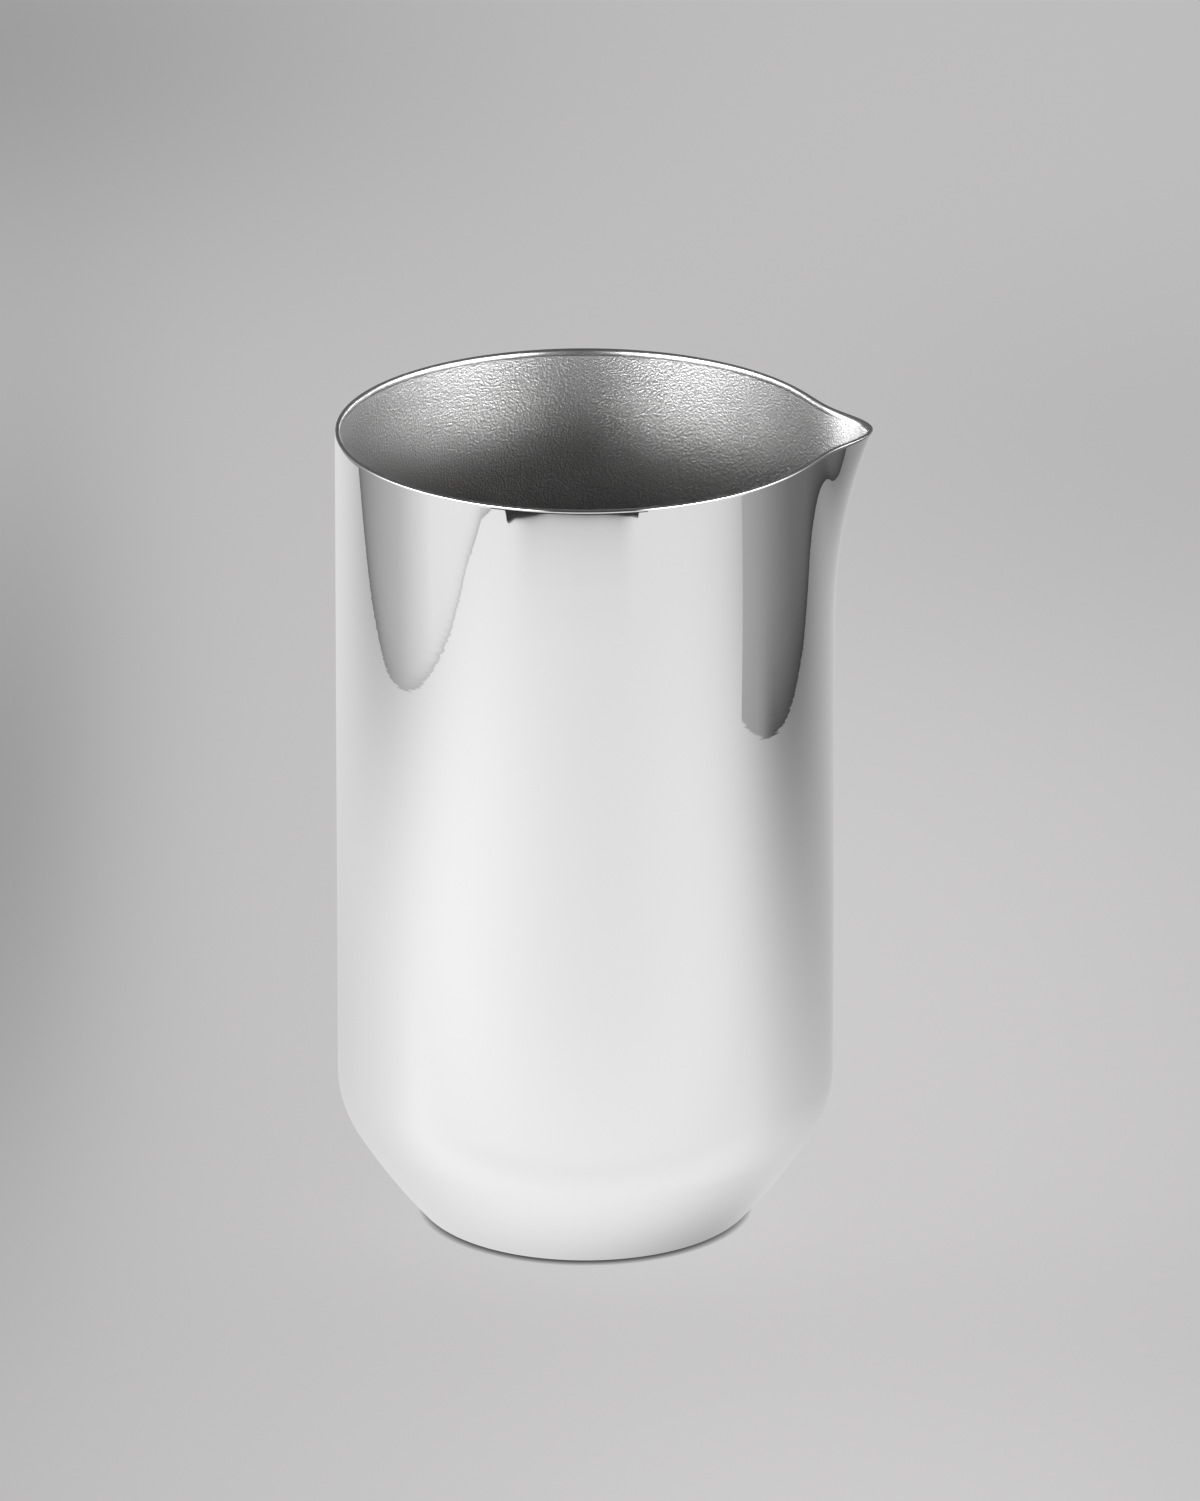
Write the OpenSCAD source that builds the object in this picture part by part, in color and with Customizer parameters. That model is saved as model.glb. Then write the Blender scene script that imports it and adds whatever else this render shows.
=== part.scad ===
// Double-walled steel cocktail pitcher with a pouring lip drawn out of the rim.
// The origin is on the body's axis at table level, +Z is up and the spout points along +X.
// Lengths are in millimetres and angles in degrees.

/* [Body] */
// Outside diameter of the straight wall
body_d = 95; // [86:1:106]
// Height of the rim above the table
height = 158; // [140:1:180]
// Radius of the shoulder that turns the wall into the bevel
shoulder_r = 20; // [15:1:26]
// Angle that the shoulder turns through
shoulder_turn = 31.4; // [28:0.1:34]
// Length of the bevel between the shoulder and the foot
bevel_len = 21; // [17:0.5:24]
// Angle that the bevel bows through over its length
bevel_bow = 10.3; // [6:0.1:13]
// Radius of the rounded edge of the foot
foot_r = 4.8; // [4:0.1:6]

/* [Spout] */
// How far the tip stands out past the wall
spout_reach = 7.2; // [4:0.1:9]
// How far below the rim the spout runs out into the wall
spout_depth = 39; // [30:1:48]
// Half angle of the spout
spout_angle = 11.2; // [10:0.1:15]
// How far the wall beside the spout is drawn in
draw_back = 0.35; // [0:0.05:0.6]
// Angle from the tip at which it is drawn in most
draw_back_angle = 35; // [30:1:42]

/* [Shells] */
// Sheet thickness of the outer shell
outer_t = 0.5; // [0.4:0.05:0.8]
// Sheet thickness of the inner shell
inner_t = 0.5; // [0.4:0.05:0.8]
// How far down the outside of the outer shell its rim is rounded
outer_edge_h = 0.3; // [0.2:0.1:0.8]
// How far down the inside of the inner shell its rim is rounded
inner_edge_h = 1.1; // [0.5:0.1:2]
// Air gap between the two shells
air_gap = 2.2; // [1.6:0.1:3.2]
// Depth below the rim over which the shells lie together, where they are welded
lap_depth = 6; // [4:0.5:9]
// Further depth over which the inner shell draws in to the air gap
draw_in_depth = 34; // [24:1:44]
// Clearance between the shells where they lie together
lap_fit = 0.05; // [0.04:0.01:0.12]
// Height of the inner floor's underside above the table
floor_lift = 6; // [5:0.5:10]
// Radius between the inner floor and the bevel
floor_r = 10; // [7:0.5:13]

/* [Base] */
// Diameter of the opening in the outer shell that takes the base plate
base_opening_d = 48; // [42:1:52]
// Height of the collar that is turned up round that opening
collar_h = 3.6; // [2.8:0.1:4.2]
// Rounding of the opening's lower edge
opening_edge_r = 0.4; // [0.2:0.05:0.5]
// Sheet thickness of the base plate
plate_t = 0.6; // [0.4:0.05:0.9]
// How far the base plate is set up from the table
plate_lift = 1.2; // [0.6:0.1:1.6]
// Outside radius of the bend between the plate and its flange
plate_bend_r = 1.6; // [1.1:0.1:2]
// Clearance between the plate's flange and the collar
plate_fit = 0.05; // [0.04:0.01:0.12]

/* [Smoothness] */
// Steps round the body on each side of the spout
body_steps = 28; // [16:1:32]
// Steps round each half of the spout
spout_steps = 12; // [8:1:14]
// Steps down the spout
depth_steps = 6; // [5:1:8]
// Steps round the shoulder
shoulder_steps = 5; // [3:1:6]
// Steps along the bevel
bevel_steps = 2; // [1:1:3]
// Steps round the foot and the inner floor's corner
corner_steps = 3; // [2:1:4]

/* [Hidden] */

// Power by which the spout fades down the wall
spout_fade = 2.2;
// Half angle of the part of the ring whose points crowd towards the spout's tip
crowded_angle = 40;
// Power by which they crowd
crowding_share = 1.35;
// Facets of the turned surfaces
turned_facets = 96;
// Overrun of a cut past the faces that it opens
cut_over = 1;

body_r = body_d / 2;
bow_r = bevel_len / (2 * sin(bevel_bow / 2));
bevel_turn = shoulder_turn + bevel_bow;
opening_r = base_opening_d / 2;

// The liner's outer face lies this far inside the outer face of the body
liner_inset = outer_t + air_gap;
// Depth at which the spout has run out and the liner has drawn in
plain_depth = max(spout_depth, lap_depth + draw_in_depth);

// Centres, as [radius, height], of the arcs that make up the lower body
foot_rise = (shoulder_r - bow_r) * sin(shoulder_turn) + (bow_r - foot_r) * sin(bevel_turn);
shoulder_c = [body_r - shoulder_r, foot_r + foot_rise];
bow_c = shoulder_c + (shoulder_r - bow_r) * heading(shoulder_turn);
foot_c = bow_c + (bow_r - foot_r) * heading(bevel_turn);

// The inner floor's corner touches the liner's bevel from inside
floor_rise = bow_c[1] - floor_lift - floor_r;
floor_reach = bow_r - liner_inset - floor_r;
floor_turn = asin(floor_rise / floor_reach);
floor_c = bow_c + floor_reach * heading(floor_turn);

// Angles round the ring, from -180 up to just short of 180, with 0 at the spout
half_ring = concat(
    [for (i = [0:spout_steps]) crowded_angle * pow(i / spout_steps, crowding_share)],
    [for (i = [1:body_steps]) crowded_angle + (180 - crowded_angle) * i / body_steps]
);
half_count = len(half_ring) - 1;
ring_angles = concat(
    [for (i = [half_count:-1:1]) -half_ring[i]],
    [for (i = [0:half_count - 1]) half_ring[i]]
);
ring_count = len(ring_angles);

// Depths of the rings between the lap and the plain wall
wall_depths = [
    for (i = [0:depth_steps]) lap_depth + (plain_depth - lap_depth) * i / depth_steps
];

// Outward direction, as [radius, height], of a surface that has turned this far from upright
function heading(turn) = [cos(turn), -sin(turn)];

function clamped(x) = min(1, max(0, x));

function eased(x) = clamped(x) * clamped(x) * (3 - 2 * clamped(x));

// How much of the spout is left at a depth below the rim: all at 0, none at spout_depth
function spout_share(depth) = pow(1 - clamped(depth / spout_depth), spout_fade);

// How far the rim stands out past the wall: out at the tip, and a little in beside the spout
function rim_push(angle) =
    let (
        tip = pow(angle / spout_angle, 2),
        side = pow(angle / draw_back_angle, 2)
    )
    spout_reach * exp(-tip) - draw_back * side * exp(1 - side);

// The change of that with the angle in radians
function rim_push_rate(angle) =
    let (
        tip = pow(angle / spout_angle, 2),
        side = pow(angle / draw_back_angle, 2),
        at_tip = -spout_reach * exp(-tip) / pow(spout_angle, 2),
        at_side = -draw_back * (1 - side) * exp(1 - side) / pow(draw_back_angle, 2)
    )
    2 * angle * (at_tip + at_side) * 180 / PI;

// A point of the upper wall, set in square to the wall's outline at that depth
function wall_point(angle, depth, inset) =
    let (
        r = body_r + rim_push(angle) * spout_share(depth),
        slant = atan2(rim_push_rate(angle) * spout_share(depth), r),
        out = angle - slant
    )
    [
        r * cos(angle) - inset * cos(out),
        r * sin(angle) - inset * sin(out),
        height - depth
    ];

function wall_ring(depth, inset) = [for (a = ring_angles) wall_point(a, depth, inset)];

function round_ring(p) = [for (a = ring_angles) [p[0] * cos(a), p[0] * sin(a), p[1]]];

// Points along an arc, as [radius, height], between two turns from upright
function arc(centre, r, from, to, steps, first = 0) =
    [for (i = [first:steps]) centre + r * heading(from + (to - from) * i / steps)];

// The lower body from the end of the wall to the flat of its bottom
function lower_path(inset, corner_c, corner_r, corner_turn) = concat(
    arc(shoulder_c, shoulder_r - inset, 0, shoulder_turn, shoulder_steps),
    arc(bow_c, bow_r - inset, shoulder_turn, corner_turn, bevel_steps, 1),
    arc(corner_c, corner_r, corner_turn, 90, corner_steps, 1)
);

// How far the liner's outer face is set in at a depth below the rim
function liner_wall_inset(depth) =
    outer_t + lap_fit + (air_gap - lap_fit) * eased((depth - lap_depth) / draw_in_depth);

// Rings of one rounded edge of the rim, from the top of its sheet down to its side
function rim_rings(side_inset, top_inset, edge_h) = [
    for (turn = [60, 30, 0])
        wall_ring(edge_h * (1 - sin(turn)), top_inset + (side_inset - top_inset) * cos(turn))
];

function reversed(list) = [for (i = [len(list) - 1:-1:0]) list[i]];

// A closed cup through rings that run up its inside, over the rim and down its outside
module cup(rings) {
    last = len(rings) - 1;
    polyhedron(
        points = [for (ring = rings) each ring],
        faces = concat(
            [[for (j = [ring_count - 1:-1:0]) j]],
            [
                for (i = [0:last - 1], j = [0:ring_count - 1])
                    let (
                        k = (j + 1) % ring_count,
                        a = i * ring_count,
                        b = a + ring_count
                    )
                    each [[a + j, a + k, b + k], [a + j, b + k, b + j]]
            ],
            [[for (j = [0:ring_count - 1]) last * ring_count + j]]
        ),
        convexity = 6
    );
}

// The mirror-polished outer shell before its base opening is cut
module outer_blank() {
    inner_face = concat(
        [for (d = wall_depths) wall_ring(d, outer_t)],
        [
            for (p = lower_path(outer_t, foot_c, foot_r - outer_t, bevel_turn))
                round_ring(p)
        ]
    );
    outer_face = concat(
        [wall_ring(0, outer_t)],
        rim_rings(0, outer_t, outer_edge_h),
        [for (d = wall_depths) wall_ring(d, 0)],
        [for (p = lower_path(0, foot_c, foot_r, bevel_turn)) round_ring(p)]
    );
    cup(concat(reversed(inner_face), outer_face));
}

module outer_shell() {
    color([0.855, 0.85, 0.85])
    difference() {
        union() {
            outer_blank();
            translate([0, 0, outer_t / 2])
            cylinder(h = collar_h - outer_t / 2, r = opening_r + outer_t, $fn = turned_facets);
        }
        base_opening();
    }
}

// The round opening of the outer shell, with its lower edge eased
module base_opening() {
    edge = opening_r + opening_edge_r;
    rotate_extrude($fn = turned_facets)
    polygon(concat(
        [[0, -cut_over], [edge, -cut_over]],
        [
            for (turn = [90, 45, 0])
                [edge, opening_edge_r] - opening_edge_r * [cos(turn), sin(turn)]
        ],
        [[opening_r, collar_h + cut_over], [0, collar_h + cut_over]]
    ));
}

// The satin liner, which laps the outer shell at the rim and draws in clear of it below
module inner_shell() {
    liner_face = liner_inset + inner_t;
    inner_face = concat(
        rim_rings(outer_t + lap_fit + inner_t, outer_t + lap_fit, inner_edge_h),
        [for (d = wall_depths) wall_ring(d, liner_wall_inset(d) + inner_t)],
        [
            for (p = lower_path(liner_face, floor_c, floor_r - inner_t, floor_turn))
                round_ring(p)
        ]
    );
    outer_face = concat(
        [wall_ring(0, outer_t + lap_fit)],
        [for (d = wall_depths) wall_ring(d, liner_wall_inset(d))],
        [for (p = lower_path(liner_inset, floor_c, floor_r, floor_turn)) round_ring(p)]
    );
    color([0.625, 0.62, 0.62])
    cup(concat(reversed(inner_face), outer_face));
}

// The dished plate that closes the air gap, pressed up into the collar
module base_plate() {
    flange_r = opening_r - plate_fit;
    bend_c = [flange_r - plate_bend_r, plate_lift + plate_bend_r];
    color([0.745, 0.74, 0.74])
    rotate_extrude($fn = turned_facets)
    polygon(concat(
        [[0, plate_lift + plate_t], [0, plate_lift]],
        reversed(arc(bend_c, plate_bend_r, 0, 90, corner_steps)),
        [[flange_r, collar_h], [flange_r - plate_t, collar_h]],
        arc(bend_c, plate_bend_r - plate_t, 0, 90, corner_steps)
    ));
}

outer_shell();
inner_shell();
base_plate();
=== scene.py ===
"""Looks of a double-walled steel cocktail pitcher: a polished outer shell, a blasted liner and a
base plate, on a pale sweep in soft studio light. Lengths are in millimetres until mesh_piece()
turns them into metres; the frame is the CAD model's, with +Z up and the spout along +X."""

import bpy
import numpy as np
from mathutils import Matrix, Vector


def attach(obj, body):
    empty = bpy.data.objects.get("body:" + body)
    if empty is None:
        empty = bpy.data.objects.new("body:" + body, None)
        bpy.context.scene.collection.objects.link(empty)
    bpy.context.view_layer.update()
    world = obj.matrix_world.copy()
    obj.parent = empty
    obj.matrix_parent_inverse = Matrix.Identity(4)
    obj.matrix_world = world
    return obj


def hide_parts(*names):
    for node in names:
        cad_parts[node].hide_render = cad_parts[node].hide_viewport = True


MM = 0.001

# Body, in millimetres and degrees
BODY_R = 47.5
HEIGHT = 158.0
SHOULDER_R = 20.0
SHOULDER_TURN = 31.4
BEVEL_LEN = 21.0
BEVEL_BOW = 10.3
FOOT_R = 4.8

# Spout
SPOUT_REACH = 7.2
SPOUT_DEPTH = 39.0
SPOUT_ANGLE = 11.2
SPOUT_FADE = 2.2
DRAW_BACK = 0.35
DRAW_BACK_ANGLE = 35.0

# Shells
OUTER_T = 0.5
INNER_T = 0.5
OUTER_EDGE_H = 0.3
INNER_EDGE_H = 1.1
AIR_GAP = 2.2
LAP_DEPTH = 6.0
DRAW_IN_DEPTH = 34.0
LAP_FIT = 0.05
FLOOR_LIFT = 6.0
FLOOR_R = 10.0

# Base
OPENING_R = 24.0
COLLAR_H = 3.6
OPENING_EDGE_R = 0.4
PLATE_T = 0.6
PLATE_LIFT = 1.2
PLATE_BEND_R = 1.6
PLATE_FIT = 0.05

# Points round a ring, and how far they crowd towards the spout
RING_POINTS = 480
RING_CROWDING = 0.55
# Steps down the wall: the first ones below the rounded rims, the near ones by the spout, and the
# longest one on the plain wall
OUTER_FIRST_STEP = 0.5
INNER_FIRST_STEP = 0.2
NEAR_STEP = 1.0
WALL_STEP = 3.0
# Steps round the arcs of the profile; the liner's rim is the polished one
OUTER_RIM_STEPS = 3
LINER_RIM_STEPS = 8
SHOULDER_STEPS = 20
BEVEL_STEPS = 12
CORNER_STEPS = 16
OPENING_EDGE_STEPS = 5
PLATE_BEND_STEPS = 8

# Camera, fitted to the photograph's 1200 x 1501 frame: its sensor in millimetres, its distances in
# metres and its angles in radians
PHOTO_SIZE = (1200, 1501)
FOCAL_PIXELS = 18442.0
SENSOR = 36.0
CAMERA_DISTANCE = 3.5515
CAMERA_ELEVATION = 0.3733
CAMERA_YAW = 0.0008
CAMERA_TILT = 0.0246
CAMERA_CLIP = 100


# ---------------------------------------------------------------- shape


def heading(turn):
    """Outward direction, as [radius, height], of a surface turned this far from upright."""
    turn = np.radians(turn)
    return np.stack([np.cos(turn), -np.sin(turn)], -1)


BOW_R = BEVEL_LEN / (2 * np.sin(np.radians(BEVEL_BOW / 2)))
BEVEL_TURN = SHOULDER_TURN + BEVEL_BOW
LINER_INSET = OUTER_T + AIR_GAP
PLAIN_DEPTH = max(SPOUT_DEPTH, LAP_DEPTH + DRAW_IN_DEPTH)

FOOT_RISE = (SHOULDER_R - BOW_R) * np.sin(np.radians(SHOULDER_TURN)) + (
    BOW_R - FOOT_R
) * np.sin(np.radians(BEVEL_TURN))
SHOULDER_C = np.array([BODY_R - SHOULDER_R, FOOT_R + FOOT_RISE])
BOW_C = SHOULDER_C + (SHOULDER_R - BOW_R) * heading(SHOULDER_TURN)
FOOT_C = BOW_C + (BOW_R - FOOT_R) * heading(BEVEL_TURN)

FLOOR_REACH = BOW_R - LINER_INSET - FLOOR_R
FLOOR_TURN = np.degrees(np.arcsin((BOW_C[1] - FLOOR_LIFT - FLOOR_R) / FLOOR_REACH))
FLOOR_C = BOW_C + FLOOR_REACH * heading(FLOOR_TURN)


def ring_angles():
    """Angles round the ring in degrees, closer together near the spout."""
    t = np.arange(RING_POINTS) / RING_POINTS * 2 - 1
    return 180 * (RING_CROWDING * t**3 + (1 - RING_CROWDING) * t)


ANGLES = ring_angles()


def wall_ring(depth, inset):
    """A ring of the upper wall at a depth below the rim, set in square to its outline: out at
    the spout's tip, and a little in beside the spout."""
    share = (1 - np.clip(depth / SPOUT_DEPTH, 0, 1)) ** SPOUT_FADE
    tip = (ANGLES / SPOUT_ANGLE) ** 2
    side = (ANGLES / DRAW_BACK_ANGLE) ** 2
    push = SPOUT_REACH * np.exp(-tip) - DRAW_BACK * side * np.exp(1 - side)
    at_tip = -SPOUT_REACH * np.exp(-tip) / SPOUT_ANGLE**2
    at_side = -DRAW_BACK * (1 - side) * np.exp(1 - side) / DRAW_BACK_ANGLE**2
    rate = 2 * ANGLES * (at_tip + at_side) * 180 / np.pi
    r = BODY_R + push * share
    a = np.radians(ANGLES)
    out = a - np.arctan2(rate * share, r)
    x = r * np.cos(a) - inset * np.cos(out)
    y = r * np.sin(a) - inset * np.sin(out)
    return np.stack([x, y, np.full(len(a), HEIGHT - depth)], -1)


def round_ring(p):
    """A ring through a point [radius, height] of the profile."""
    a = np.radians(ANGLES)
    return np.stack([p[0] * np.cos(a), p[0] * np.sin(a), np.full(len(a), p[1])], -1)


def arc(centre, r, start, end, steps, first=0):
    """Points [radius, height] of an arc between two turns, from step `first` on."""
    turns = start + (end - start) * np.arange(first, steps + 1) / steps
    return centre + r * heading(turns)


def lower_rings(inset, corner_c, corner_r, corner_turn):
    """Rings from the end of the wall to the flat of the bottom."""
    path = np.concatenate(
        [
            arc(SHOULDER_C, SHOULDER_R - inset, 0, SHOULDER_TURN, SHOULDER_STEPS),
            arc(BOW_C, BOW_R - inset, SHOULDER_TURN, corner_turn, BEVEL_STEPS, 1),
            arc(corner_c, corner_r, corner_turn, 90, CORNER_STEPS, 1),
        ]
    )
    return [round_ring(p) for p in path]


def wall_depths(first):
    """Depths of the rings from the rim down to the end of the wall."""
    near = np.arange(first, PLAIN_DEPTH, NEAR_STEP)
    far_end = HEIGHT - SHOULDER_C[1]
    count = int(np.ceil((far_end - PLAIN_DEPTH) / WALL_STEP))
    return np.concatenate([near, np.linspace(PLAIN_DEPTH, far_end, count, False)])


def eased(x):
    """0 up to 0, 1 from 1 on, and a smooth rise between."""
    x = np.clip(x, 0, 1)
    return x * x * (3 - 2 * x)


def liner_inset(depth):
    """How far the liner's hidden side lies inside the pitcher's outline."""
    return OUTER_T + LAP_FIT + (AIR_GAP - LAP_FIT) * eased((depth - LAP_DEPTH) / DRAW_IN_DEPTH)


def rim_rings(side_inset, top_inset, edge_h, steps):
    """One rounded edge of the rim, from the top of its sheet down to its side."""
    rings = []
    for turn in np.linspace(np.pi / 2, 0, steps + 1)[1:]:
        inset = top_inset + (side_inset - top_inset) * np.cos(turn)
        rings.append(wall_ring(edge_h * (1 - np.sin(turn)), inset))
    return rings


# ---------------------------------------------------------------- meshes


def new_object(name, data):
    obj = bpy.data.objects.new(name, data)
    bpy.context.scene.collection.objects.link(obj)
    return obj


def mark_points(mesh, name, values):
    """A value at each point of a mesh, which its material reads by name."""
    mesh.attributes.new(name, "FLOAT", "POINT").data.foreach_set("value", values)


def mesh_piece(name, rings, closed, caps=False):
    """A skin through rings of equal counts; closed joins the last ring to the first, and caps
    closes both ends at a point on the axis."""
    count = len(rings[0])
    points = np.concatenate(rings)
    rows = len(rings)
    j = np.arange(count)
    k = (j + 1) % count
    faces = []
    for i in range(rows if closed else rows - 1):
        a, b = i * count, (i + 1) % rows * count
        faces += np.stack([a + j, a + k, b + k, b + j], -1).tolist()
    if caps:
        first, last = len(points), len(points) + 1
        ends = [[0, 0, rings[0][0][2]], [0, 0, rings[-1][0][2]]]
        points = np.concatenate([points, ends])
        faces += [[first, int(n), int(m)] for m, n in zip(j, k)]
        end = (rows - 1) * count
        faces += [[last, int(end + m), int(end + n)] for m, n in zip(j, k)]
    mesh = bpy.data.meshes.new(name)
    mesh.from_pydata((points * MM).tolist(), [], faces)
    mesh.validate()
    mesh.update()
    mesh.shade_smooth()
    return new_object(name, mesh)


def mark_ground(piece, rows):
    """Marks the rows of a skin where the rim is ground."""
    ground = np.zeros(len(piece.data.vertices))
    for row in rows:
        ground[row * RING_POINTS : (row + 1) * RING_POINTS] = 1.0
    mark_points(piece.data, "ground", ground)


def outer_rings():
    """Down the outside, round the opening in the bottom, up the inside and over the rim."""
    outside = rim_rings(0, OUTER_T, OUTER_EDGE_H, OUTER_RIM_STEPS)
    outside += [wall_ring(d, 0) for d in wall_depths(OUTER_EDGE_H + OUTER_FIRST_STEP)]
    outside += lower_rings(0, FOOT_C, FOOT_R, BEVEL_TURN)
    edge_c = np.array([OPENING_R + OPENING_EDGE_R, OPENING_EDGE_R])
    for turn in np.linspace(np.pi / 2, 0, OPENING_EDGE_STEPS + 1):
        p = edge_c - OPENING_EDGE_R * np.array([np.cos(turn), np.sin(turn)])
        outside.append(round_ring(p))
    outside.append(round_ring((OPENING_R, COLLAR_H)))
    outside.append(round_ring((OPENING_R + OUTER_T, COLLAR_H)))
    outside.append(round_ring((OPENING_R + OUTER_T, OUTER_T)))
    inside = [wall_ring(0, OUTER_T)]
    inside += [wall_ring(d, OUTER_T) for d in wall_depths(LAP_DEPTH)]
    inside += lower_rings(OUTER_T, FOOT_C, FOOT_R - OUTER_T, BEVEL_TURN)
    return outside + inside[::-1]


def inner_rings():
    """Up the liner's inside from its floor, over the rim and down its hidden side; and the row
    of the skin where the polish of the rim begins."""
    seam = OUTER_T + LAP_FIT
    first = INNER_EDGE_H + INNER_FIRST_STEP
    inside = rim_rings(seam + INNER_T, seam, INNER_EDGE_H, LINER_RIM_STEPS)
    inside += [wall_ring(d, liner_inset(d) + INNER_T) for d in wall_depths(first)]
    inside += lower_rings(LINER_INSET + INNER_T, FLOOR_C, FLOOR_R - INNER_T, FLOOR_TURN)
    outside = [wall_ring(0, seam)]
    outside += [wall_ring(d, liner_inset(d)) for d in wall_depths(LAP_DEPTH)]
    outside += lower_rings(LINER_INSET, FLOOR_C, FLOOR_R, FLOOR_TURN)
    return inside[::-1] + outside, len(inside) - LINER_RIM_STEPS - 1


def plate_rings():
    """From the middle of the plate's upper face round its flange to the middle below."""
    flange_r = OPENING_R - PLATE_FIT
    bend_c = np.array([flange_r - PLATE_BEND_R, PLATE_LIFT + PLATE_BEND_R])
    top = arc(bend_c, PLATE_BEND_R - PLATE_T, 0, 90, PLATE_BEND_STEPS)[::-1]
    under = arc(bend_c, PLATE_BEND_R, 0, 90, PLATE_BEND_STEPS)
    flange = [[flange_r - PLATE_T, COLLAR_H], [flange_r, COLLAR_H]]
    return [round_ring(p) for p in np.concatenate([top, flange, under])]


# ---------------------------------------------------------------- materials


# Each steel: its colour, its least and greatest roughness, its noise in cycles a metre along each
# axis, the finer octaves that are added to the noise, and the depth of its bumps in metres
POLISHED_COLOR = (0.855, 0.85, 0.85, 1.0)
POLISHED_ROUGHNESS = (0.008, 0.020)
WAVES_SCALE = (9.0, 9.0, 700.0)
WAVES_BUMP = 2.2e-6
HAIRS_SCALE = (30.0, 30.0, 4200.0)
HAIRS_BUMP = 1.5e-7
POLISHED_DETAIL = 2.0
BLASTED_COLOR = (0.625, 0.62, 0.62, 1.0)
BLASTED_ROUGHNESS = (0.37, 0.45)
BLASTED_SCALE = (2800.0, 2800.0, 2800.0)
BLASTED_DETAIL = 1.0
BLASTED_BUMP = 1.1e-4
PLATE_COLOR = (0.745, 0.74, 0.74, 1.0)
PLATE_ROUGHNESS = (0.26, 0.34)
PLATE_SCALE = (1500.0, 1500.0, 1500.0)
PLATE_DETAIL = 2.0
PLATE_BUMP = 1.0e-5
# Values of the noise where the roughness is least and greatest
NOISE_RANGE = (0.3, 0.7)
# Depths in millimetres below the rim where the polish's waves begin to fade and where only the
# share WAVES_LEFT of them is left
WAVES_FADE = 14.0
WAVES_END = 5.0
WAVES_LEFT = 0.05
# What grinding adds to the roughness of the rim's edge
GROUND_ROUGHNESS = 0.24


class Nodes:
    """Adds and links shader nodes in a material or a world."""

    def __init__(self, tree):
        self.tree = tree
        tree.nodes.clear()

    def add(self, kind, **values):
        """A node of that kind: names of its own properties, or of inputs as in_NAME."""
        node = self.tree.nodes.new(kind)
        for key, value in values.items():
            if key.startswith("in_"):
                self.feed(node, key[3:], value)
            else:
                setattr(node, key, value)
        return node

    def feed(self, node, name, value):
        """Sets or links an input, which is given by its name or its number."""
        names = [s for s in node.inputs if s.name.replace(" ", "_") == name and s.enabled]
        socket = names[0] if names else node.inputs[int(name)]
        if isinstance(value, bpy.types.NodeSocket):
            self.tree.links.new(value, socket)
        else:
            socket.default_value = value

    def math(self, operation, a, b=0.0):
        node = self.add("ShaderNodeMath", operation=operation)
        self.feed(node, "0", a)
        if operation not in ("ARCSINE", "EXPONENT", "ABSOLUTE"):
            self.feed(node, "1", b)
        return node.outputs[0]

    def attribute(self, name):
        return self.add("ShaderNodeAttribute", attribute_name=name).outputs["Fac"]

    def mix(self, share, a, b):
        """One shader where the share is 0 and the other where it is 1."""
        node = self.add("ShaderNodeMixShader")
        for name, value in (("0", share), ("1", a), ("2", b)):
            self.feed(node, name, value)
        return node.outputs[0]

    def output(self, surface, kind="ShaderNodeOutputMaterial"):
        self.feed(self.add(kind), "Surface", surface)

    def smooth(self, value, low, high, out_low=0.0, out_high=1.0):
        """Eases from one output to the other while the value goes from low to high."""
        node = self.add("ShaderNodeMapRange", interpolation_type="SMOOTHSTEP")
        for name, v in (
            ("Value", value),
            ("From_Min", low),
            ("From_Max", high),
            ("To_Min", out_low),
            ("To_Max", out_high),
        ):
            self.feed(node, name, v)
        return node.outputs[0]


def new_material(name):
    material = bpy.data.materials.new(name)
    material.use_nodes = True
    return material, Nodes(material.node_tree)


def stretched_noise(n, scale, detail):
    """Noise in the frame's metres, with its cycles a metre along each axis."""
    place = n.add("ShaderNodeTexCoord").outputs["Object"]
    mapping = n.add("ShaderNodeMapping", in_Vector=place, in_Scale=scale)
    noise = n.add(
        "ShaderNodeTexNoise",
        in_Vector=mapping.outputs[0],
        in_Scale=1.0,
        in_Detail=detail,
        in_Roughness=0.5,
    )
    return noise.outputs["Fac"]


def bare_metal(n, color, rough, bump):
    """Ends a material in bare metal of one colour."""
    shader = n.add(
        "ShaderNodeBsdfPrincipled",
        in_Base_Color=color,
        in_Metallic=1.0,
        in_Roughness=rough,
        in_Normal=bump.outputs[0],
    )
    n.output(shader.outputs[0])


def polished_steel():
    """Mirror polish with the long shallow waves and hair lines that the wheel leaves; the waves
    die out at the rim, whose edge is ground to a satin."""
    material, n = new_material("polished_steel")
    waves = stretched_noise(n, WAVES_SCALE, POLISHED_DETAIL)
    hairs = stretched_noise(n, HAIRS_SCALE, POLISHED_DETAIL)
    place = n.add("ShaderNodeTexCoord").outputs["Object"]
    up = n.add("ShaderNodeSeparateXYZ", in_Vector=place).outputs["Z"]
    low, high = (HEIGHT - WAVES_FADE) * MM, (HEIGHT - WAVES_END) * MM
    fade = n.smooth(up, low, high, 1.0, WAVES_LEFT)
    bump = n.add("ShaderNodeBump", in_Strength=fade, in_Distance=WAVES_BUMP, in_Height=waves)
    fine = n.add(
        "ShaderNodeBump",
        in_Strength=fade,
        in_Distance=HAIRS_BUMP,
        in_Height=hairs,
        in_Normal=bump.outputs[0],
    )
    rough = n.smooth(hairs, *NOISE_RANGE, *POLISHED_ROUGHNESS)
    added = n.math("MULTIPLY", n.attribute("ground"), GROUND_ROUGHNESS)
    bare_metal(n, POLISHED_COLOR, n.math("ADD", rough, added), fine)
    return material


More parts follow.
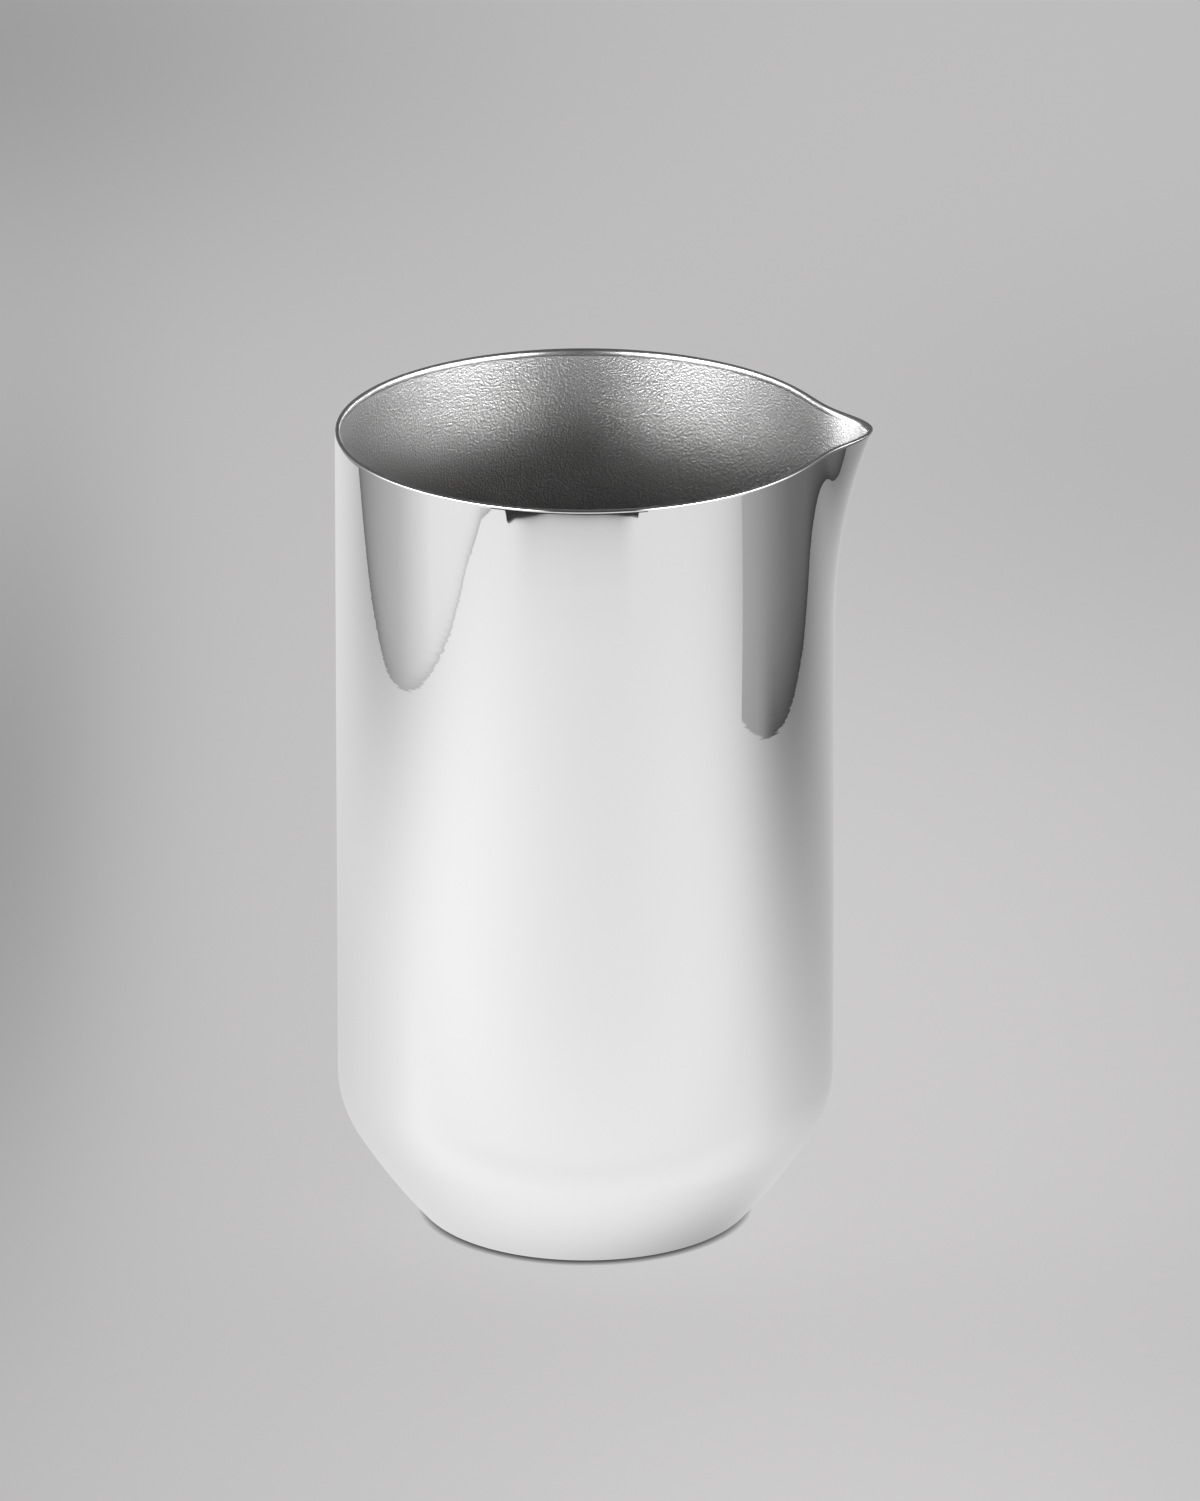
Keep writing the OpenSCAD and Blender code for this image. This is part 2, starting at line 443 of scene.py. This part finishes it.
def grained_steel(name, color, roughness, scale, detail, depth):
    """Satin steel with an even grain."""
    material, n = new_material(name)
    grain = stretched_noise(n, scale, detail)
    bump = n.add("ShaderNodeBump", in_Strength=1.0, in_Distance=depth, in_Height=grain)
    bare_metal(n, color, n.smooth(grain, *NOISE_RANGE, *roughness), bump)
    return material


# ---------------------------------------------------------------- studio


# Half of the floor's side in metres
FLOOR_HALF = 30.0
# No place on the floor is darker than this
LEAST_TONE = 0.05
# Painted reflection: the board's tone, which only the steel sees, with painted light and shade in
# soft patches, as centre, radii and height
BOARD_TONE = 0.82
BOARD_LIGHT_AND_SHADE = (
    ((-0.261, -0.070), (0.235, 0.288), 0.322),
    ((0.437, 0.061), (0.500, 0.196), -0.600),
    ((-0.535, 0.078), (0.269, 0.254), -0.600),
    ((-0.019, -0.042), (0.115, 0.021), 0.119),
    ((0.008, -0.017), (0.022, 0.015), -0.600),
    ((0.014, -0.082), (0.214, 0.090), 0.139),
    ((0.502, 0.585), (0.426, 0.496), -0.587),
    ((0.223, -0.029), (0.191, 0.237), 0.287),
)
# The same for the paper that the camera sees, whose patches are painted light and shade
PAPER_TONE = 0.50
PAPER_TINT = (1.018, 1.0, 1.010)
PAPER_LIGHT_AND_SHADE = (
    ((-0.123, 0.217), (0.030, 0.251), -0.176),
    ((-0.176, 0.734), (0.135, 0.169), -0.171),
    ((0.104, 0.432), (0.105, 0.150), -0.057),
    ((0.047, -0.031), (0.112, 0.562), 0.106),
    ((0.040, -0.060), (0.120, 0.065), -0.042),
)
# Share of the paper's light that comes from the room, and so takes the object's shadow, and how
# bright the room makes white paper
SHADOW_SHARE = 0.05
ROOM_LEVEL = 0.50
# Shadow where the foot meets the paper: how far it reaches in metres, and how dark it is as the
# power of the part of the sky that is open
CONTACT_REACH = 0.0013
CONTACT_POWER = 0.75

# Edges of the board, from the back to the front on the left and back again on the right, with the
# point from which each card lies outward, and the steps outward that the side cards have
LEFT_CENTRE = (0.10, -0.06)
LEFT_EDGE = (
    (-0.402, 0.900), (-0.400, 0.320), (-0.392, 0.240), (-0.385, 0.200), (-0.374, 0.150),
    (-0.366, 0.100), (-0.359, 0.060), (-0.358, 0.000), (-0.358, -0.060), (-0.358, -0.130),
    (-0.358, -0.200), (-0.364, -0.270), (-0.352, -0.335), (-0.325, -0.373), (-0.300, -0.397),
    (-0.272, -0.412),
)
RIGHT_CENTRE = (-0.30, 0)
RIGHT_EDGE = (
    (0.332, -0.106), (0.331, -0.080), (0.330, -0.050), (0.329, -0.030), (0.328, -0.010),
    (0.328, 0.010), (0.327, 0.050), (0.328, 0.100), (0.335, 0.155), (0.346, 0.180),
    (0.355, 0.200), (0.368, 0.220), (0.374, 0.240), (0.376, 0.900),
)
SIDE_ROWS = (0, 0.002, 0.004, 0.008, 0.014, 0.028, 0.050, 0.090, 0.160, 0.800)
SIDE_Z = 0.0004
# In front, as the turn in degrees from straight ahead and the reach from the pitcher's axis, the
# turns of the front card's points, and its steps from inside the edge to outside
FRONT_TURNS = (-42, -37.5, -35.2, -34.6, -33.5, -31.5, -30, -26.6, -23, -19.5, -16, -8, 0, 8,
               14.5, 18.8, 21, 23.5, 24.3, 28)
FRONT_REACH = (0.520, 0.4975, 0.494, 0.487, 0.4862, 0.489, 0.490, 0.4914, 0.493, 0.4949, 0.4966,
               0.497, 0.4972, 0.498, 0.4978, 0.4974, 0.4972, 0.4968, 0.505, 0.520)
FRONT_STEPS = np.linspace(FRONT_TURNS[0], FRONT_TURNS[-1], 141)
FRONT_ROWS = (-0.080, -0.050, -0.030, -0.020, -0.012, -0.008, -0.005, -0.003, -0.0018, -0.0008,
              -0.0002, 0.0002, 0.400)
FRONT_Z = 0.0006

# Tone of the painted reflection past each edge, and the painted shade lines along it, each with
# its width in metres; a tone or a line's strength is a start and its changes: from this y, to this
# y, by how much
LEFT_TONE = (0.90, (-0.16, 0.04, -0.41), (0.0, 0.24, -0.19))
LEFT_SHADE_LINES = (
    ((0.06, (-0.06, 0.12, 0.44), (-0.28, -0.41, 0.35)), 0.016),
    ((0.34, (-0.08, 0.0, -0.34)), 0.005),
)
RIGHT_TONE = (0.47, (-0.17, 0.14, -0.305))
RIGHT_SHADE_LINES = (((0.08, (-0.05, 0.01, 0.60)), 0.040),)
FRONT_TONE = (0.035,)

# Painted shade: the dark fringe that the front card's painted reflection lays over the board's
# edge:
# the turns between which it softens, begins and ends
DARK_FRINGE_SOFTENS = (-33.0, -22.0)
DARK_FRINGE_BEGINS = (-35.0, -28.0)
DARK_FRINGE_ENDS = (14.0, 23.5)
# Its narrow and its wide part, as strength and width; a pair is the value where the edge is sharp
# and what is added where it is soft
DARK_FRINGE_NARROW = 0.45
DARK_FRINGE_NARROW_WIDTH = (0.0008, 0.0017)
DARK_FRINGE_WIDE = (0.06, 0.22)
DARK_FRINGE_WIDE_WIDTH = 0.022

# What the camera sees where the floor ends
BACKDROP_COLOR = (0.50, 0.495, 0.495, 1.0)
# The room's tone towards the camera and behind the pitcher, and how far along Y it changes, as a
# part of a direction
ROOM_FRONT = 0.05
ROOM_BACK = 0.12
ROOM_CHANGE = 0.6
# Low strip lamps: side, strength, and the turn and the rise (degrees) at which each begins, is
# full, fades and ends
STRIPS = (
    (1, 25.0, (-68, -48, -36, 30), (0, 7, 9, 17)),
    (-1, 26.0, (-76, -50, -40, 32), (0, 7, 9, 18)),
)


def patches(n, tone, shapes):
    """A tone with soft oval patches added, by place on the floor."""
    place = n.add("ShaderNodeNewGeometry").outputs["Position"]
    split = n.add("ShaderNodeSeparateXYZ", in_Vector=place)
    for centre, radii, height in shapes:
        squares = []
        for axis in range(2):
            d = n.math("SUBTRACT", split.outputs[axis], centre[axis])
            d = n.math("MULTIPLY", d, 1 / radii[axis])
            squares.append(n.math("MULTIPLY", d, d))
        fall = n.math("MULTIPLY", n.math("ADD", *squares), -1.0)
        tone = n.math("ADD", tone, n.math("MULTIPLY", n.math("EXPONENT", fall), height))
    return n.math("MAXIMUM", tone, LEAST_TONE)


def floor_material():
    """Grey paper, nearly all of it self-lit, with painted light and shade in its tone, and a
    brighter board, a painted reflection that only the steel sees.
    """
    material, n = new_material("sweep_paper")
    # The board: a painted reflection with painted light and shade, which only glossy rays see
    board = patches(n, BOARD_TONE, BOARD_LIGHT_AND_SHADE)
    painted_reflection = n.add("ShaderNodeEmission", in_Color=board, in_Strength=1.0)
    # The paper's tone, with painted light and shade in its patches
    tone = patches(n, PAPER_TONE, PAPER_LIGHT_AND_SHADE)
    open_sky = n.add("ShaderNodeAmbientOcclusion", in_Distance=CONTACT_REACH).outputs["AO"]
    tone = n.math("MULTIPLY", tone, n.math("POWER", open_sky, CONTACT_POWER))
    tinted = n.add("ShaderNodeVectorMath", operation="SCALE", in_Vector=PAPER_TINT, in_Scale=tone)
    glow = n.add(
        "ShaderNodeEmission", in_Color=tinted.outputs[0], in_Strength=1 - SHADOW_SHARE
    )
    lit = n.math("MULTIPLY", tone, SHADOW_SHARE / ROOM_LEVEL)
    paper = n.add("ShaderNodeBsdfDiffuse", in_Color=lit)
    both = n.add("ShaderNodeAddShader")
    n.feed(both, "0", glow.outputs[0])
    n.feed(both, "1", paper.outputs[0])
    ray = n.add("ShaderNodeLightPath").outputs["Is Glossy Ray"]
    n.output(n.mix(ray, both.outputs[0], painted_reflection.outputs[0]))
    return material


def eased_between(value, low, high):
    return eased((value - low) / (high - low))


def changed(y, start, *changes):
    """A start value with its changes along y."""
    for low, high, change in changes:
        start = start + change * eased_between(y, low, high)
    return start


def tone_past(y, row, tone, lines):
    """Tone of the painted reflection at this distance outward from an edge, at each point of the
    edge, darkened by painted shade lines.
    """
    value = changed(y, *tone)
    for strength, width in lines:
        value = value * (1 - changed(y, *strength) * np.exp(-row / width))
    return np.broadcast_to(value, len(y))


def edge_card(name, edge, centre, rows, tone, lines, z, cover=None):
    """A painted reflection of what lies past an edge of the board, outward from a centre: a
    self-lit card with a tone at each point, seen only in the steel, which covers the board as far
    as `cover` says for each row."""
    edge = np.array(edge)
    away = edge - np.array(centre)
    away /= np.linalg.norm(away, axis=1)[:, None]
    points = np.concatenate([edge + away * row for row in rows])
    tones = np.concatenate([tone_past(edge[:, 1], row, tone, lines) for row in rows])
    count = len(edge)
    faces = [
        (i * count + j, i * count + j + 1, (i + 1) * count + j + 1, (i + 1) * count + j)
        for i in range(len(rows) - 1)
        for j in range(count - 1)
    ]
    mesh = bpy.data.meshes.new(name)
    mesh.from_pydata([(x, y, z) for x, y in points], [], faces)
    mark_points(mesh, "tone", tones)
    if cover:
        mark_points(mesh, "cover", np.concatenate([cover(row) for row in rows]))
    mesh.update()
    card = new_object(name, mesh)
    card.visible_camera = False
    card.visible_diffuse = False
    card.visible_shadow = False
    card.visible_transmission = False
    material, n = new_material(name)
    surface = n.add("ShaderNodeEmission", in_Color=n.attribute("tone"), in_Strength=1.0).outputs[0]
    if cover:
        clear = n.add("ShaderNodeBsdfTransparent").outputs[0]
        surface = n.mix(n.attribute("cover"), clear, surface)
    n.output(surface)
    mesh.materials.append(material)


def front_edge():
    """The board's front edge at the front card's turns."""
    turns = np.radians(FRONT_STEPS)
    reach = np.interp(FRONT_STEPS, FRONT_TURNS, FRONT_REACH)
    return np.stack([np.sin(turns), -np.cos(turns)], -1) * reach[:, None]


def front_cover(row):
    """The painted reflection's dark covers the board past its edge, and a painted dark fringe of
    it reaches back over the edge, less of it where the board's corner is turned up."""
    if row >= 0:
        return np.ones(len(FRONT_STEPS))
    soft = eased_between(FRONT_STEPS, *DARK_FRINGE_SOFTENS)
    ended = eased_between(FRONT_STEPS, *DARK_FRINGE_ENDS)
    ends = eased_between(FRONT_STEPS, *DARK_FRINGE_BEGINS) * (1 - ended)
    narrow = DARK_FRINGE_NARROW * np.exp(row / (DARK_FRINGE_NARROW_WIDTH[0] + DARK_FRINGE_NARROW_WIDTH[1] * soft))
    wide = (DARK_FRINGE_WIDE[0] + DARK_FRINGE_WIDE[1] * soft) * np.exp(row / DARK_FRINGE_WIDE_WIDTH)
    return ends * (narrow + wide)


def build_world():
    """A dim room with a low strip lamp on each side, a little above the horizon."""
    world = bpy.data.worlds.new("studio")
    bpy.context.scene.world = world
    world.use_nodes = True
    n = Nodes(world.node_tree)
    direction = n.add("ShaderNodeTexCoord").outputs["Generated"]
    split = n.add("ShaderNodeSeparateXYZ", in_Vector=direction)
    x, y, z = split.outputs
    # Angle from the camera's side (-90 degrees) past the pitcher's side (0) to its back (90)
    turn = n.math("ARCTAN2", y, n.math("ABSOLUTE", x))

    def between(value, *angles):
        """Rises from the first angle to the second and falls from the third to the fourth."""
        a = np.radians(angles)
        rise = n.smooth(value, a[0], a[1])
        fall = n.smooth(value, a[2], a[3], 1.0, 0.0)
        return n.math("MULTIPLY", rise, fall)

    rise = n.math("ARCSINE", z)
    tone = n.smooth(y, -ROOM_CHANGE, ROOM_CHANGE, ROOM_FRONT, ROOM_BACK)
    for side, strength, turns, rises in STRIPS:
        here = n.math("GREATER_THAN", n.math("MULTIPLY", x, side), 0.0)
        light = n.math("MULTIPLY", between(turn, *turns), between(rise, *rises))
        light = n.math("MULTIPLY", n.math("MULTIPLY", light, here), strength)
        tone = n.math("ADD", tone, light)
    light = n.add("ShaderNodeBackground", in_Color=tone, in_Strength=1.0)
    plain = n.add("ShaderNodeBackground", in_Color=BACKDROP_COLOR)
    camera_ray = n.add("ShaderNodeLightPath").outputs["Is Camera Ray"]
    seen = n.mix(camera_ray, light.outputs[0], plain.outputs[0])
    n.output(seen, "ShaderNodeOutputWorld")


def build_camera():
    """The camera as fitted: raised by its elevation, then turned by its yaw and its tilt."""
    el, yaw, tilt = CAMERA_ELEVATION, CAMERA_YAW, CAMERA_TILT
    place = Vector((0, -CAMERA_DISTANCE * np.cos(el), CAMERA_DISTANCE * np.sin(el)))
    ahead = Vector((0, np.cos(el), -np.sin(el)))
    up = Vector((0, np.sin(el), np.cos(el)))
    right = Vector((1, 0, 0))
    ahead, right = (
        np.cos(yaw) * ahead + np.sin(yaw) * right,
        np.cos(yaw) * right - np.sin(yaw) * ahead,
    )
    ahead, up = (
        np.cos(tilt) * ahead + np.sin(tilt) * up,
        np.cos(tilt) * up - np.sin(tilt) * ahead,
    )
    data = bpy.data.cameras.new("camera")
    data.sensor_width = SENSOR
    data.lens = FOCAL_PIXELS * SENSOR / max(PHOTO_SIZE)
    data.clip_end = CAMERA_CLIP
    camera = new_object("camera", data)
    rows = [(right[i], up[i], -ahead[i], place[i]) for i in range(3)]
    camera.matrix_world = Matrix(rows + [(0, 0, 0, 1)])
    bpy.context.scene.camera = camera


# ---------------------------------------------------------------- scene

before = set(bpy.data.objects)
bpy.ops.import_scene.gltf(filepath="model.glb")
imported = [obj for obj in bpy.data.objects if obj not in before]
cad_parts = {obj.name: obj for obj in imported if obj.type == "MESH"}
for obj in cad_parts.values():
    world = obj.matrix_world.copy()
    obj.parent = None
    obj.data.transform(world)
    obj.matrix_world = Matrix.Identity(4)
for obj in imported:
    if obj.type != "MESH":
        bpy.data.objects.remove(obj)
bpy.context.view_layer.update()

polish = polished_steel()
rings = outer_rings()
shell_outer = mesh_piece("shell_outer", rings, True)
shell_outer.data.materials.append(polish)
mark_ground(shell_outer, (0, 1, len(rings) - 1))

liner_rings, rim_row = inner_rings()
shell_inner = mesh_piece("shell_inner", liner_rings, False, True)
blasted = (BLASTED_COLOR, BLASTED_ROUGHNESS, BLASTED_SCALE, BLASTED_DETAIL, BLASTED_BUMP)
shell_inner.data.materials.append(grained_steel("blasted_steel", *blasted))
shell_inner.data.materials.append(polish)
rim_faces = slice(rim_row * RING_POINTS, (rim_row + LINER_RIM_STEPS + 1) * RING_POINTS)
for face in shell_inner.data.polygons[rim_faces]:
    face.material_index = 1
mark_ground(shell_inner, range(rim_row, rim_row + LINER_RIM_STEPS + 2))

plate = mesh_piece("plate", plate_rings(), False, True)
satin = (PLATE_COLOR, PLATE_ROUGHNESS, PLATE_SCALE, PLATE_DETAIL, PLATE_BUMP)
plate.data.materials.append(grained_steel("plate_steel", *satin))

for piece, node, slot in (
    (shell_outer, "outer_shell", "polished_steel"),
    (shell_inner, "inner_shell", "blasted_steel"),
    (plate, "base_plate", "plate_steel"),
):
    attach(piece, "root")
    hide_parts(node)

corners = [(-1, -1), (1, -1), (1, 1), (-1, 1)]
corners = [(x * FLOOR_HALF, y * FLOOR_HALF, 0) for x, y in corners]
floor_mesh = bpy.data.meshes.new("floor")
floor_mesh.from_pydata(corners, [], [(0, 1, 2, 3)])
floor_mesh.materials.append(floor_material())
floor = new_object("floor", floor_mesh)

# Painted reflections past the board's edges: self-lit cards that only the steel sees, with painted
# shade lines
for name, edge, centre, tone, lines in (
    ("past_left", LEFT_EDGE, LEFT_CENTRE, LEFT_TONE, LEFT_SHADE_LINES),
    ("past_right", RIGHT_EDGE, RIGHT_CENTRE, RIGHT_TONE, RIGHT_SHADE_LINES),
):
    edge_card(name, edge, centre, SIDE_ROWS, tone, lines, SIDE_Z)
edge_card("past_front", front_edge(), (0, 0), FRONT_ROWS, FRONT_TONE, (), FRONT_Z, front_cover)

build_world()
build_camera()
bpy.context.scene.view_settings.view_transform = "Standard"
